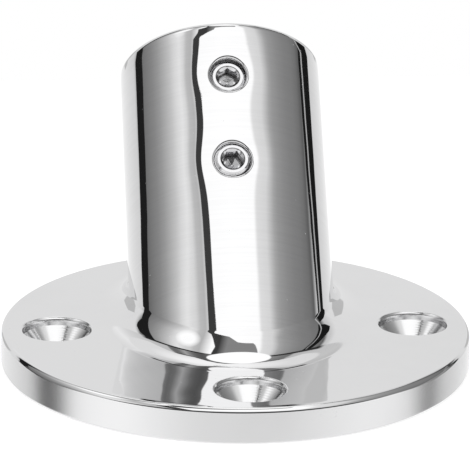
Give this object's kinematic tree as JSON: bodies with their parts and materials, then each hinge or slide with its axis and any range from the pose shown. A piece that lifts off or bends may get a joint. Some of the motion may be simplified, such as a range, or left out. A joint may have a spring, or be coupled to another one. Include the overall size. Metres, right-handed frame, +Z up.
{
  "type": "tube clamp base flange",
  "caption": "Round mounting flange with a leaning tube socket cast in one piece with it, countersunk fixing holes and socket set screws that clamp the tube.",
  "frame": {"origin": "centre of the round flange on its underside, midway between the two side fixing holes", "axes": "+Z up out of the flange's top, +Y the way the socket leans, +X across to the right-hand side hole when seen from the set screws"},
  "size_m": [0.075, 0.0871, 0.0484],
  "materials": {
    "polished_casting": "mirror polished stainless steel",
    "screw_steel": "plain machined stainless steel"
  },
  "bodies": {
    "root": {"base_fitting": "polished_casting", "upper_set_screw": "screw_steel", "lower_set_screw": "screw_steel"}
  },
  "joints": []
}
